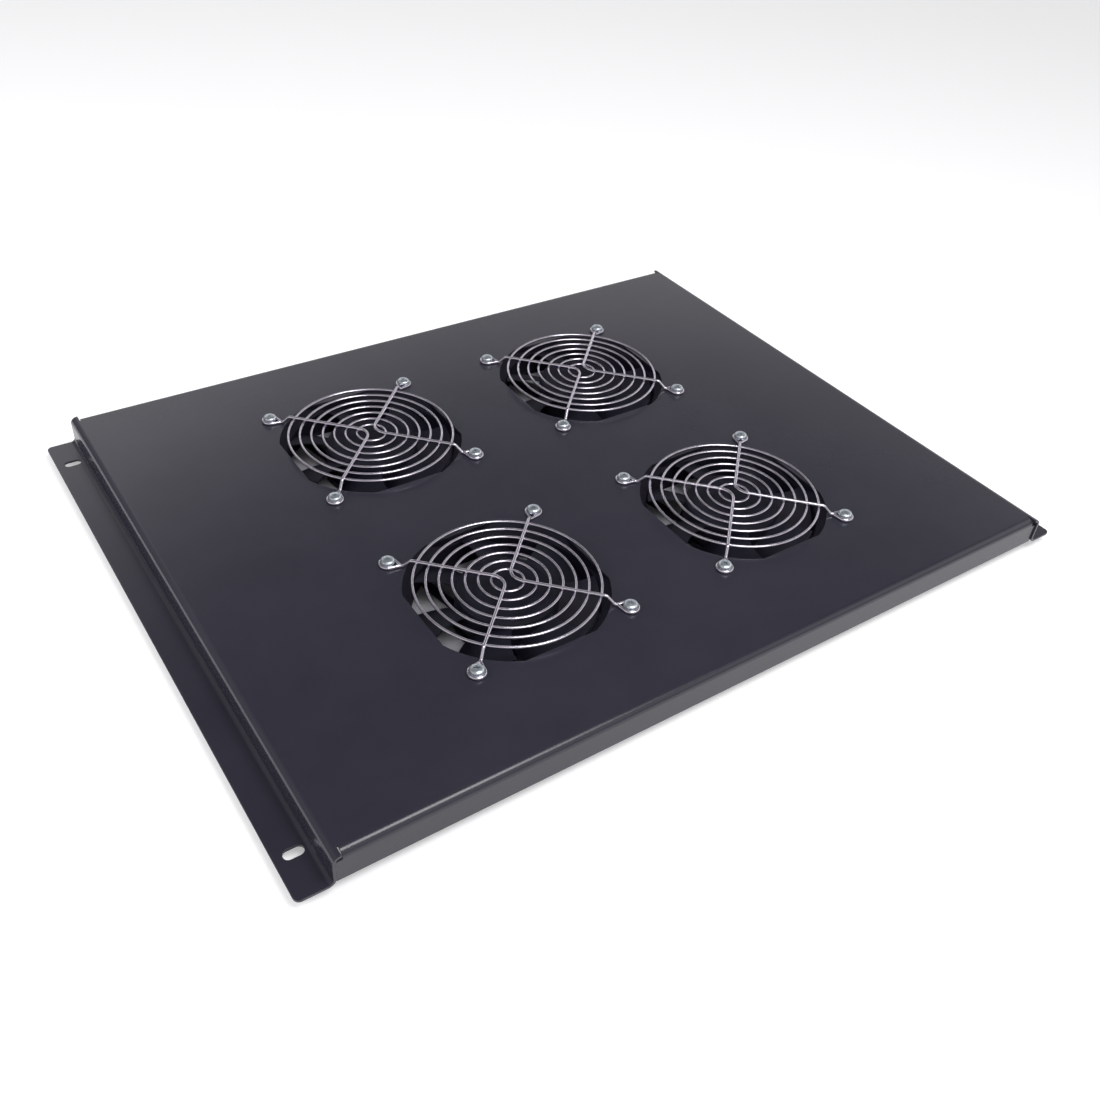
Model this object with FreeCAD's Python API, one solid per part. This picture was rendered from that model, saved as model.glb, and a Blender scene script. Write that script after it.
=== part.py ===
"""Rack fan tray: a folded steel panel that hangs four 120 mm axial fans under wire finger guards.

Row frame, millimetres: X along the long side, Y towards the rear, Z up. The origin lies under the middle
of the tray, at the height of the fans' underside.
"""
import FreeCAD, Part
import math
import os

from FreeCAD import Vector

# sheet-metal tray
PANEL_LENGTH = 519.0  # over the outer faces of the side walls
PANEL_DEPTH = 417.0  # over the outer faces of the end walls
SIDE_DEPTH = 419.0  # the side walls and flanges stand 1 mm past each end wall
OVERALL_LENGTH = 558.0  # over the mounting flanges
SHEET = 1.5
BEND_RADIUS = 3.0  # inside radius of every fold
FLANGE_DROP = 18.7  # panel top to flange top
END_WALL_DROP = 19.2  # panel top to the end walls' lower edge
FLANGE_CORNER = 3.5
RELIEF_WIDTH = 0.8
RELIEF_INSET = 1.4  # from the side fold to the relief slot
END_WALL_GAP = 0.3  # between an end wall and a side wall
SLOT_SPACING_X = 537.0
SLOT_SPACING_Y = 367.0
SLOT_LENGTH = 11.0
SLOT_WIDTH = 6.2

# fans
FAN_SIZE = 120.0
FAN_DEPTH = 25.0
FAN_PITCH = 178.0
FAN_SCREW_PITCH = 105.0
FAN_CORNER = 6.0
FLANGE_THICKNESS = 4.5
DUCT_OUTER = 59.8
DUCT_BORE = 57.4
CUTOUT_RADIUS = 62.5  # the panel opening is a circle cut by four flats
CUTOUT_FLAT = 57.7
UPPER_FLARE_LOW = 19.0  # where the duct begins to open towards the panel
LOWER_FLARE_HIGH = 5.0
LOWER_MOUTH_RADIUS = 60.0
SCREW_HOLE = 2.15
PANEL_SCREW_HOLE = 2.25
HOUSING_X = (21.0, 28.0)  # terminal housing on the duct
HOUSING_Y = (48.0, 59.5)
HOUSING_Z = (5.5, 16.5)
TAB_X = (24.0, 35.0)
TAB_Y = (56.2, 57.0)
TAB_WIDTH = 2.8
TAB_HEIGHTS = (6.8, 12.4)

# motor, outside the air gap
BASE_RADIUS = 33.0
BASE_LOW = 0.6
BASE_HIGH = 3.0
BASE_RIM = 1.2
STRUT_WIDTH = 4.8
STRUT_HIGH = 4.3
STRUT_ROUND = 1.6
STRUT_LENGTH = 37.0
STRUT_SWEEP = 24.0
STRUT_OFFSET = 9.0
STRUT_FIRST = 35.0  # angle of the first arm
TUBE_OUTER = 6.2
TUBE_TOP = 17.4
BEARING_OUTER = 4.0
BEARING_BORE = 1.53  # 0.03 mm running clearance on the shaft
BEARING_WIDTH = 4.0
BEARING_SHOULDER = 3.3
LOWER_BEARING = 5.2
UPPER_BEARING = 13.4
CORE_LOW = 7.8
CORE_HIGH = 16.2
CORE_RADIUS = 24.8
SHOE_INNER = 20.8
SHOE_GAP = 6.0
YOKE_RADIUS = 10.2
POLE_HALF = 4.0
COIL_BUILD = 3.2
COIL_INNER = 11.5
COIL_OUTER = 19.2
COIL_CORNER = 2.6

# impeller and rotor
HUB_RADIUS = 31.5
HUB_WALL = 1.8
HUB_LOW = 5.0
HUB_TOP = 24.0
HUB_FACE = 0.4  # the face lies this far below its rim
HUB_RIM = 4.6
HUB_ROUND = 2.4
ROTOR_WALL = 1.2
ROTOR_BORE = 25.4
RING_OVERHANG = 0.4  # the rotor ring stands past both faces of the core
BOSS_RADIUS = 4.5
BOSS_GAP = 0.8  # between the boss and the bearing tube
SHAFT_RADIUS = 1.5
SHAFT_LOW = 3.4
CLIP_GROOVE = 1.15
CLIP_LOW = 4.3
CLIP_THICKNESS = 0.5
CLIP_RADIUS = 2.8
CLIP_GAP = 1.6
BLADES = 7
BLADE_TIP = 56.4
BLADE_LOW = 5.4
BLADE_HIGH = 23.0
BLADE_ROOT_PITCH = 34.0  # angle to the plane of rotation
BLADE_TIP_PITCH = 22.0
BLADE_SWEEP = 9.0
BLADE_ROOT_THICKNESS = 2.2
BLADE_TIP_THICKNESS = 1.5
BLADE_CAMBER = 0.075  # share of the chord
BLADE_EDGE = 0.22  # half thickness at the edges, as a share of the thickness
BLADE_SWELL = 0.6
BLADE_ROOTING = 0.9  # how deep a blade stands in the hub's wall

# finger guard
GUARD_RINGS = 7
RING_FIRST = 9.9
RING_LAST = 56.3
RING_WIRE = 0.9  # wire radius
SPOKE_WIRE = 1.1  # wire radius
RING_LIFT = 4.7  # panel top to the rings' plane
WELD_SINK = 0.3  # how far a spoke is pressed into a ring
APEX_RADIUS = 9.0
STEP_START = 59.4
STEP_RADIUS = 2.5
FOOT_RADIUS = 1.8
EYELET_RADIUS = 4.7
EYELET_TIP = 8.0  # screw axis to the point where the loop closes

# M4 fasteners
HEAD_RADIUS = 4.5
HEAD_HEIGHT = 2.6
HEAD_RIM = 1.0  # upright part of the head's edge
HEAD_CROWN = 0.8
SCREW_LENGTH = 16.0
THREAD_RADIUS = 2.0
THREAD_CHAMFER = 0.4
WASHER_RADIUS = 4.5
WASHER_THICKNESS = 0.8
NUT_FLATS = 7.0
NUT_HEIGHT = 3.2
LOCK_NUT_HEX = 3.8
LOCK_NUT_COLLAR = 1.2
COLLAR_STEP = 0.3  # the collar is this much smaller than the flats
STUD_LENGTH = 10.0

# wiring fittings under the rear of the panel
BLOCK_Y = 178.0
POLES = 6
POLE_PITCH = 9.5
POLE_WIDTH = 7.8
BLOCK_WIDTH = 18.0
BLOCK_BASE = 4.0
BLOCK_HEIGHT = 13.0
BLOCK_EAR = 10.0
EAR_ROUND = 4.5
TOWER_CHAMFER = 1.0
WELL_RADIUS = 2.0
CLAMP_OUTER = 3.0
CLAMP_BORE = 1.8
CLAMP_LENGTH = 13.0
CLAMP_DROP = 0.4  # from the base to the brass tubes
CLAMP_SCREW_RADIUS = 1.5
CLAMP_HEAD_RADIUS = 1.9
CLAMP_HEAD_HEIGHT = 1.2
CLAMP_HEAD_SUNK = 0.8
CLAMP_SLOT = 0.6  # width and depth of the screwdriver slot
CLAMP_SCREW_SPREAD = 7.0
EARTH_X = -72.0
EARTH_BODY = 3.2  # radius of the toothed washer inside its teeth
EARTH_TEETH = 12
EARTH_TOOTH = 1.1
GROMMET_X = 72.0
GROMMET_BORE = 3.6
GROMMET_NECK = 5.5
GROMMET_LIP = 6.6
GROMMET_INNER_LIP = 1.5
GROMMET_CHAMFER = 0.5

PANEL_TOP = FAN_DEPTH + SHEET
PANEL_UNDER = FAN_DEPTH
FLANGE_TOP = PANEL_TOP - FLANGE_DROP
RING_PLANE = PANEL_TOP + RING_LIFT
SPOKE_PLANE = RING_PLANE + RING_WIRE + SPOKE_WIRE - WELD_SINK
EYELET_PLANE = PANEL_TOP + SPOKE_WIRE
HEAD_SEAT = PANEL_TOP + 2 * SPOKE_WIRE
FLANGE_UNDER = FAN_DEPTH - FLANGE_THICKNESS
SCREW_REACH = FAN_SCREW_PITCH / 2

# fan name: centre and the angle at which its impeller is parked
FANS = {
    "rear_left": (Vector(-FAN_PITCH / 2, FAN_PITCH / 2, 0), 23.0),
    "rear_right": (Vector(FAN_PITCH / 2, FAN_PITCH / 2, 0), 21.0),
    "front_left": (Vector(-FAN_PITCH / 2, -FAN_PITCH / 2, 0), 11.0),
    "front_right": (Vector(FAN_PITCH / 2, -FAN_PITCH / 2, 0), 17.0),
}

CONTACT = 1e-6  # points this close are one point
UP = Vector(0, 0, 1)
MIDDLE = Vector(0, 0, 0)


def block(x_low, x_high, y_low, y_high, z_low, z_high):
    """A box between two corners."""
    size = (x_high - x_low, y_high - y_low, z_high - z_low)
    return Part.makeBox(*size, Vector(x_low, y_low, z_low))


def rod(radius, z_low, z_high, x=0.0, y=0.0):
    """An upright cylinder."""
    return Part.makeCylinder(radius, z_high - z_low, Vector(x, y, z_low))


def collar(inner, outer, z_low, z_high, x=0.0, y=0.0):
    """An upright tube."""
    return rod(outer, z_low, z_high, x, y).cut(rod(inner, z_low - 1, z_high + 1, x, y))


def turned(profile):
    """The solid that an (r, z) outline sweeps about the Z axis."""
    points = [Vector(r, 0, z) for r, z in profile]
    face = Part.Face(Part.makePolygon(points + points[:1]))
    return face.revolve(MIDDLE, UP, 360)


def hexagon(flats, z_low, z_high, x=0.0, y=0.0):
    """An upright hexagonal prism of a given size across flats."""
    reach = flats / math.sqrt(3)
    corners = [
        Vector(x + reach * math.cos(math.radians(60 * i)), y + reach * math.sin(math.radians(60 * i)), z_low)
        for i in range(7)
    ]
    return Part.Face(Part.makePolygon(corners)).extrude(Vector(0, 0, z_high - z_low))


def rounded_square(size, corner, z_low, z_high):
    """A square plate with round corners, centred on the Z axis."""
    half = size / 2
    plate = block(-half, half, -half, half, z_low, z_high)
    upright = [edge for edge in plate.Edges if abs(edge.tangentAt(edge.FirstParameter).z) > 0.9]
    return plate.makeFillet(corner, upright)


def rounded_path(points, radii):
    """Edges along a polyline, with a tangent arc of the given radius at each inner point."""
    edges = []
    start = points[0]
    for before, corner, after, radius in zip(points, points[1:], points[2:], radii):
        back = (before - corner).normalize()
        ahead = (after - corner).normalize()
        half_angle = back.getAngle(ahead) / 2
        setback = radius / math.tan(half_angle)
        centre_way = (back + ahead).normalize()
        middle = corner + centre_way * (radius / math.sin(half_angle) - radius)
        leave = corner + back * setback
        join = corner + ahead * setback
        if start.distanceToPoint(leave) > CONTACT:
            edges.append(Part.LineSegment(start, leave).toShape())
        edges.append(Part.Arc(leave, middle, join).toShape())
        start = join
    edges.append(Part.LineSegment(start, points[-1]).toShape())
    return edges


def folded_sheet(upper, lower, folds_up):
    """The section of a folded sheet between its upper and lower polylines.

    folds_up says, for each fold, whether the sheet turns towards its upper side there.
    """
    tight, wide = BEND_RADIUS, BEND_RADIUS + SHEET
    above = rounded_path(upper, [tight if up else wide for up in folds_up])
    below = rounded_path(lower, [wide if up else tight for up in folds_up])
    ends = [
        Part.LineSegment(upper[-1], lower[-1]).toShape(),
        Part.LineSegment(lower[0], upper[0]).toShape(),
    ]
    return Part.Face(Part.Wire(Part.__sortEdges__(above + below + ends)))


def long_section(y):
    """Flange, side wall, panel, side wall and flange as one folded section across the tray."""
    tip, wall = OVERALL_LENGTH / 2, PANEL_LENGTH / 2
    upper = [(-tip, FLANGE_TOP), (-wall, FLANGE_TOP), (-wall, PANEL_TOP)]
    lower = [(-tip, FLANGE_TOP - SHEET), (SHEET - wall, FLANGE_TOP - SHEET), (SHEET - wall, PANEL_UNDER)]
    upper += [(-x, z) for x, z in reversed(upper)]
    lower += [(-x, z) for x, z in reversed(lower)]
    return folded_sheet(
        [Vector(x, y, z) for x, z in upper],
        [Vector(x, y, z) for x, z in lower],
        [True, False, False, True],
    )


def end_fold(x_reach):
    """The fold and end wall at the front, as wide as twice x_reach."""
    outer = -PANEL_DEPTH / 2
    fold = outer + BEND_RADIUS + SHEET
    edge = PANEL_TOP - END_WALL_DROP
    upper = [(fold, PANEL_TOP), (outer, PANEL_TOP), (outer, edge)]
    lower = [(fold, PANEL_UNDER), (outer + SHEET, PANEL_UNDER), (outer + SHEET, edge)]
    section = folded_sheet(
        [Vector(-x_reach, y, z) for y, z in upper],
        [Vector(-x_reach, y, z) for y, z in lower],
        [False],
    )
    return section.extrude(Vector(2 * x_reach, 0, 0))


def slot_cutter(x, y):
    """A slot that runs along X through a mounting flange."""
    reach = (SLOT_LENGTH - SLOT_WIDTH) / 2
    low, high = FLANGE_TOP - 2 * SHEET, FLANGE_TOP + SHEET
    ends = [rod(SLOT_WIDTH / 2, low, high, x + side * reach, y) for side in (-1, 1)]
    middle = block(x - reach, x + reach, y - SLOT_WIDTH / 2, y + SLOT_WIDTH / 2, low, high)
    return middle.multiFuse(ends)


def cutout_cutter(centre):
    """One fan opening: a circle flattened on four sides."""
    low, high = PANEL_UNDER - 1, PANEL_TOP + 1
    circle = rod(CUTOUT_RADIUS, low, high)
    flats = block(-CUTOUT_FLAT, CUTOUT_FLAT, -CUTOUT_FLAT, CUTOUT_FLAT, low, high)
    cutter = circle.common(flats)
    cutter.translate(centre)
    return cutter


def screw_places(centre):
    """The four fan screw positions around a fan's centre."""
    return [centre + Vector(sx * SCREW_REACH, sy * SCREW_REACH, 0) for sx in (-1, 1) for sy in (-1, 1)]


def tray_panel():
    """The folded sheet with its openings, screw holes, mounting slots and cable hole."""
    side = SIDE_DEPTH / 2
    end = PANEL_DEPTH / 2
    fold = BEND_RADIUS + SHEET
    flat_reach = PANEL_LENGTH / 2 - fold
    relief_outer = flat_reach - RELIEF_INSET + RELIEF_WIDTH
    relief_inner = flat_reach - RELIEF_INSET
    wall_reach = PANEL_LENGTH / 2 - SHEET - END_WALL_GAP
    wall_edge = PANEL_TOP - END_WALL_DROP
    wall_high = PANEL_TOP - fold - END_WALL_GAP

    sheet = long_section(-side).extrude(Vector(0, SIDE_DEPTH, 0))
    rounded = block(-OVERALL_LENGTH / 2, OVERALL_LENGTH / 2, -side, side, 0, PANEL_TOP + 1)
    upright = [edge for edge in rounded.Edges if abs(edge.tangentAt(edge.FirstParameter).z) > 0.9]
    sheet = sheet.common(rounded.makeFillet(FLANGE_CORNER, upright))

    front_fold = end_fold(relief_inner)
    front_wall = block(-wall_reach, wall_reach, -end, SHEET - end, wall_edge, wall_high)
    front = front_fold.fuse(front_wall)
    rear = front.mirror(MIDDLE, Vector(0, 1, 0))

    trims = []
    for sign in (-1, 1):
        y_low, y_high = sorted((sign * (end - fold), sign * (side + 1)))
        trims.append(block(-relief_outer, relief_outer, y_low, y_high, PANEL_UNDER - 1, PANEL_TOP + 1))
        for x_side in (-1, 1):
            x_low, x_high = sorted((x_side * relief_inner, x_side * relief_outer))
            y_deep = sorted((sign * (end - fold - RELIEF_WIDTH), sign * (end - fold)))
            trims.append(block(x_low, x_high, *y_deep, PANEL_UNDER - 1, PANEL_TOP + 1))
    sheet = sheet.cut(trims)
    sheet = sheet.multiFuse([front, rear])

    x_slot, y_slot = SLOT_SPACING_X / 2, SLOT_SPACING_Y / 2
    cutters = [slot_cutter(sx * x_slot, sy * y_slot) for sx in (-1, 1) for sy in (-1, 1)]
    for centre, _ in FANS.values():
        cutters.append(cutout_cutter(centre))
        for place in screw_places(centre):
            cutters.append(rod(PANEL_SCREW_HOLE, PANEL_UNDER - 1, PANEL_TOP + 1, place.x, place.y))
    hole_start = Vector(GROMMET_X, end - 2 * SHEET, grommet_height())
    cable_hole = Part.makeCylinder(GROMMET_NECK, 3 * SHEET, hole_start, Vector(0, 1, 0))
    cutters.append(cable_hole)
    return sheet.cut(cutters).removeSplitter()


def grommet_height():
    """The cable hole sits in the middle of the rear wall's flat height."""
    return PANEL_TOP - (END_WALL_DROP + BEND_RADIUS + SHEET) / 2


def rear_grommet():
    """A rubber grommet with a lip on each face of the rear wall."""
    wall = PANEL_DEPTH / 2
    lip = (SIDE_DEPTH - PANEL_DEPTH) / 2
    length = lip + SHEET + GROMMET_INNER_LIP
    outline = [
        (GROMMET_BORE, 0),
        (GROMMET_LIP - GROMMET_CHAMFER, 0),
        (GROMMET_LIP, GROMMET_CHAMFER),
        (GROMMET_LIP, lip),
        (GROMMET_NECK, lip),
        (GROMMET_NECK, lip + SHEET),
        (GROMMET_LIP, lip + SHEET),
        (GROMMET_LIP - GROMMET_CHAMFER, length),
        (GROMMET_BORE, length),
    ]
    grommet = turned(outline)
    grommet.rotate(MIDDLE, Vector(1, 0, 0), 90)
    grommet.translate(Vector(GROMMET_X, wall + lip, grommet_height()))
    return grommet


def corner_bores(radius, z_low, z_high):
    """Cutters for the four screw holes of one fan."""
    return [rod(radius, z_low, z_high, p.x, p.y) for p in screw_places(MIDDLE)]


def duct_mouth(throat_z, face_z, face_radius):
    """The flared mouth of the duct, cut by the same flats as the panel opening."""
    way = 1 if face_z > throat_z else -1
    slope = (face_radius - DUCT_BORE) / abs(face_z - throat_z)
    past = face_z + way
    flare = turned([(0, throat_z), (DUCT_BORE, throat_z), (face_radius + slope, past), (0, past)])
    low, high = sorted((throat_z - way, past + way))
    return flare.common(block(-CUTOUT_FLAT, CUTOUT_FLAT, -CUTOUT_FLAT, CUTOUT_FLAT, low, high))


def strut(angle):
    """One arm that carries the motor base, swept back from the radial line, with rounded upper edges."""
    half = STRUT_WIDTH / 2
    arm = block(0, STRUT_LENGTH, -half, half, BASE_LOW, STRUT_HIGH)
    upper = [e for e in arm.Edges if e.BoundBox.ZMin > STRUT_HIGH - CONTACT and e.BoundBox.XLength > CONTACT]
    arm = arm.makeFillet(STRUT_ROUND, upper)
    arm.rotate(MIDDLE, UP, -STRUT_SWEEP)
    arm.translate(Vector(BASE_RADIUS - STRUT_OFFSET, STRUT_OFFSET, 0))
    arm.rotate(MIDDLE, UP, angle)
    return arm


def fan_frame():
    """Square frame with open corners, duct, flared mouths, four arms, motor base and bearing tube."""
    duct = rod(DUCT_OUTER, FLANGE_THICKNESS - 1, FLANGE_UNDER + 1)
    frame = duct.multiFuse([
        rounded_square(FAN_SIZE, FAN_CORNER, 0, FLANGE_THICKNESS),
        rounded_square(FAN_SIZE, FAN_CORNER, FLANGE_UNDER, FAN_DEPTH),
        terminal_housing(),
    ])
    frame = frame.cut([
        rod(DUCT_BORE, -1, FAN_DEPTH + 1),
        duct_mouth(UPPER_FLARE_LOW, FAN_DEPTH, CUTOUT_RADIUS),
        duct_mouth(LOWER_FLARE_HIGH, 0, LOWER_MOUTH_RADIUS),
        *corner_bores(SCREW_HOLE, -1, FAN_DEPTH + 1),
        *terminal_tabs(),
    ])
    reach = rod(DUCT_BORE + 1, 0, FAN_DEPTH)
    arms = [strut(STRUT_FIRST + 90 * i).common(reach) for i in range(4)]
    base = turned([
        (BEARING_SHOULDER, BASE_LOW),
        (BASE_RADIUS - 1, BASE_LOW),
        (BASE_RADIUS, BASE_LOW + 1),
        (BASE_RADIUS, BASE_HIGH + 1),
        (BASE_RADIUS - BASE_RIM, BASE_HIGH + 1),
        (BASE_RADIUS - BASE_RIM, BASE_HIGH),
        (TUBE_OUTER, BASE_HIGH),
        (TUBE_OUTER, TUBE_TOP),
        (BEARING_OUTER, TUBE_TOP),
        (BEARING_OUTER, UPPER_BEARING),
        (BEARING_SHOULDER, UPPER_BEARING),
        (BEARING_SHOULDER, LOWER_BEARING + BEARING_WIDTH),
        (BEARING_OUTER, LOWER_BEARING + BEARING_WIDTH),
        (BEARING_OUTER, LOWER_BEARING),
        (BEARING_SHOULDER, LOWER_BEARING),
    ])
    clear = rod(BASE_RADIUS - 2, 0, FAN_DEPTH)
    arms = [arm.cut(clear) for arm in arms]
    return frame.multiFuse([base, *arms]).removeSplitter()


def terminal_housing():
    """The moulded block on the duct that holds the two supply tabs."""
    return block(*HOUSING_X, *HOUSING_Y, *HOUSING_Z)


def terminal_tabs():
    """Two push-on supply tabs, pointing into the frame's open corner."""
    return [block(*TAB_X, *TAB_Y, z, z + TAB_WIDTH) for z in TAB_HEIGHTS]


def bearings():
    """Two sealed ball bearings, each with recessed shields."""
    inner_race = 0.9
    outer_race = 0.6
    recess = 0.25
    rings = []
    for low in (LOWER_BEARING, UPPER_BEARING):
        high = low + BEARING_WIDTH
        rings.append(turned([
            (BEARING_BORE, low),
            (BEARING_BORE + inner_race, low),
            (BEARING_BORE + inner_race, low + recess),
            (BEARING_OUTER - outer_race, low + recess),
            (BEARING_OUTER - outer_race, low),
            (BEARING_OUTER, low),
            (BEARING_OUTER, high),
            (BEARING_OUTER - outer_race, high),
            (BEARING_OUTER - outer_race, high - recess),
            (BEARING_BORE + inner_race, high - recess),
            (BEARING_BORE + inner_race, high),
            (BEARING_BORE, high),
        ]))
    return rings


def stator_core():
    """Laminated core: a yoke on the bearing tube and four poles that end in wide curved shoes."""
    shoes = collar(SHOE_INNER, CORE_RADIUS, CORE_LOW, CORE_HIGH)
    half_gap = SHOE_GAP / 2
    for angle in (45, 135):
        slit = block(-CORE_RADIUS - 1, CORE_RADIUS + 1, -half_gap, half_gap, CORE_LOW - 1, CORE_HIGH + 1)
        slit.rotate(MIDDLE, UP, angle)
        shoes = shoes.cut(slit)
    yoke = rod(YOKE_RADIUS, CORE_LOW, CORE_HIGH)
    reach = SHOE_INNER + 1
    along = block(-reach, reach, -POLE_HALF, POLE_HALF, CORE_LOW, CORE_HIGH)
    across = block(-POLE_HALF, POLE_HALF, -reach, reach, CORE_LOW, CORE_HIGH)
    core = yoke.multiFuse([shoes, along, across])
    return core.cut(rod(TUBE_OUTER, CORE_LOW - 1, CORE_HIGH + 1)).removeSplitter()


def windings():
    """One wound coil on each of the four poles."""
    coils = []
    half = POLE_HALF + COIL_BUILD
    for i in range(4):
        coil = block(COIL_INNER, COIL_OUTER, -half, half, CORE_LOW - COIL_BUILD, CORE_HIGH + COIL_BUILD)
        along = [e for e in coil.Edges if e.BoundBox.XLength > COIL_CORNER]
        coil = coil.makeFillet(COIL_CORNER, along)
        coil = coil.cut(block(COIL_INNER - 1, COIL_OUTER + 1, -POLE_HALF, POLE_HALF, CORE_LOW, CORE_HIGH))
        coil.rotate(MIDDLE, UP, 90 * i)
        coils.append(coil)
    return coils


def blade_section(radius, spread, pitch, thickness):
    """A cambered blade section in the plane that stands at radius, drawn along the blade's width.

    spread turns the section about the fan's axis, and pitch is its angle to the plane of rotation.
    """
    slant = math.radians(pitch)
    turn = math.radians(spread)
    radial = Vector(math.cos(turn), math.sin(turn), 0)
    around = Vector(-math.sin(turn), math.cos(turn), 0)
    chord_way = around * math.cos(slant) + UP * math.sin(slant)
    normal = UP * math.cos(slant) - around * math.sin(slant)
    chord = (BLADE_HIGH - BLADE_LOW) / math.sin(slant)
    middle = radial * radius + UP * ((BLADE_HIGH + BLADE_LOW) / 2)

    def point(share, side):
        bow = BLADE_CAMBER * chord * (1 / 3 - (2 * share - 1) ** 2)
        half = side * thickness * (BLADE_EDGE + BLADE_SWELL * math.sqrt(share * (1 - share)))
        return middle + chord_way * ((share - 0.5) * chord) + normal * (bow + half)

    shares = [0.0, 0.2, 0.45, 0.7, 0.9, 1.0]
    upper = [point(s, 1) for s in shares]
    lower = [point(s, -1) for s in reversed(shares)]
    curves = []
    for side in (upper, lower):
        curve = Part.BSplineCurve()
        curve.interpolate(side)
        curves.append(curve.toShape())
    tail = Part.LineSegment(lower[-1], upper[0]).toShape()
    nose = Part.LineSegment(upper[-1], lower[0]).toShape()
    return Part.Wire([curves[0], nose, curves[1], tail])


def blade():
    """One blade, lofted outwards from steep and thick to flat and thin, and swept forwards."""
    root, tip = HUB_RADIUS - 4, BLADE_TIP + 2  # drawn past both ends, then trimmed
    sections = []
    for share in (0.0, 0.33, 0.67, 1.0):
        radius = root + share * (tip - root)
        pitch = BLADE_ROOT_PITCH + share * (BLADE_TIP_PITCH - BLADE_ROOT_PITCH)
        spread = BLADE_SWEEP * share ** 2
        thickness = BLADE_ROOT_THICKNESS + share * (BLADE_TIP_THICKNESS - BLADE_ROOT_THICKNESS)
        sections.append(blade_section(radius, spread, pitch, thickness))
    lofted = Part.makeLoft(sections, True, False)
    return lofted.common(collar(HUB_RADIUS - BLADE_ROOTING, BLADE_TIP, BLADE_LOW, BLADE_HIGH))


def impeller():
    """Hub cup and seven blades in one moulding."""
    top = HUB_TOP
    inner = HUB_RADIUS - HUB_WALL
    rim = HUB_RADIUS - HUB_RIM
    shoulder = HUB_RADIUS - HUB_ROUND
    bevel = HUB_ROUND * (1 - math.sqrt(0.5))
    hub = turned([
        (0, top - HUB_FACE),
        (rim - HUB_FACE, top - HUB_FACE),
        (rim, top),
        (shoulder, top),
        (HUB_RADIUS - bevel, top - bevel),
        (HUB_RADIUS, top - HUB_ROUND),
        (HUB_RADIUS, HUB_LOW),
        (inner, HUB_LOW),
        (inner, top - HUB_WALL),
        (0, top - HUB_WALL),
    ])
    blades = []
    for i in range(BLADES):
        copy = blade()
        copy.rotate(MIDDLE, UP, 360 * i / BLADES)
        blades.append(copy)
    return hub.multiFuse(blades).removeSplitter()


def rotor_cup():
    """Steel cup pressed into the hub, with the rotor ring in its skirt and a boss for the shaft."""
    outer = HUB_RADIUS - HUB_WALL
    top = HUB_TOP - HUB_WALL
    skirt = outer - ROTOR_WALL
    skirt_low = HUB_LOW + 1
    ring_low, ring_high = CORE_LOW - RING_OVERHANG, CORE_HIGH + RING_OVERHANG
    boss_low = TUBE_TOP + BOSS_GAP
    return turned([
        (SHAFT_RADIUS, top),
        (outer, top),
        (outer, skirt_low),
        (skirt, skirt_low),
        (skirt, ring_low),
        (ROTOR_BORE, ring_low),
        (ROTOR_BORE, ring_high),
        (skirt, ring_high),
        (skirt, top - ROTOR_WALL),
        (BOSS_RADIUS, top - ROTOR_WALL),
        (BOSS_RADIUS, boss_low),
        (SHAFT_RADIUS, boss_low),
    ])


def shaft():
    """Steel shaft with a clip groove below the lower bearing and a chamfered end."""
    chamfer = 0.3
    return turned([
        (0, SHAFT_LOW),
        (SHAFT_RADIUS - chamfer, SHAFT_LOW),
        (SHAFT_RADIUS, SHAFT_LOW + chamfer),
        (SHAFT_RADIUS, CLIP_LOW),
        (CLIP_GROOVE, CLIP_LOW),
        (CLIP_GROOVE, CLIP_LOW + CLIP_THICKNESS),
        (SHAFT_RADIUS, CLIP_LOW + CLIP_THICKNESS),
        (SHAFT_RADIUS, HUB_TOP - HUB_WALL),
        (0, HUB_TOP - HUB_WALL),
    ])


def retaining_clip():
    """Split ring in the shaft's groove, under the lower bearing."""
    high = CLIP_LOW + CLIP_THICKNESS
    half_gap = CLIP_GAP / 2
    ring = collar(CLIP_GROOVE, CLIP_RADIUS, CLIP_LOW, high)
    return ring.cut(block(0, CLIP_RADIUS + 1, -half_gap, half_gap, CLIP_LOW - 1, high + 1))


def on_circle(centre, radius, degrees):
    """A point on a level circle."""
    angle = math.radians(degrees)
    return centre + Vector(radius * math.cos(angle), radius * math.sin(angle), 0)


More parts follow.
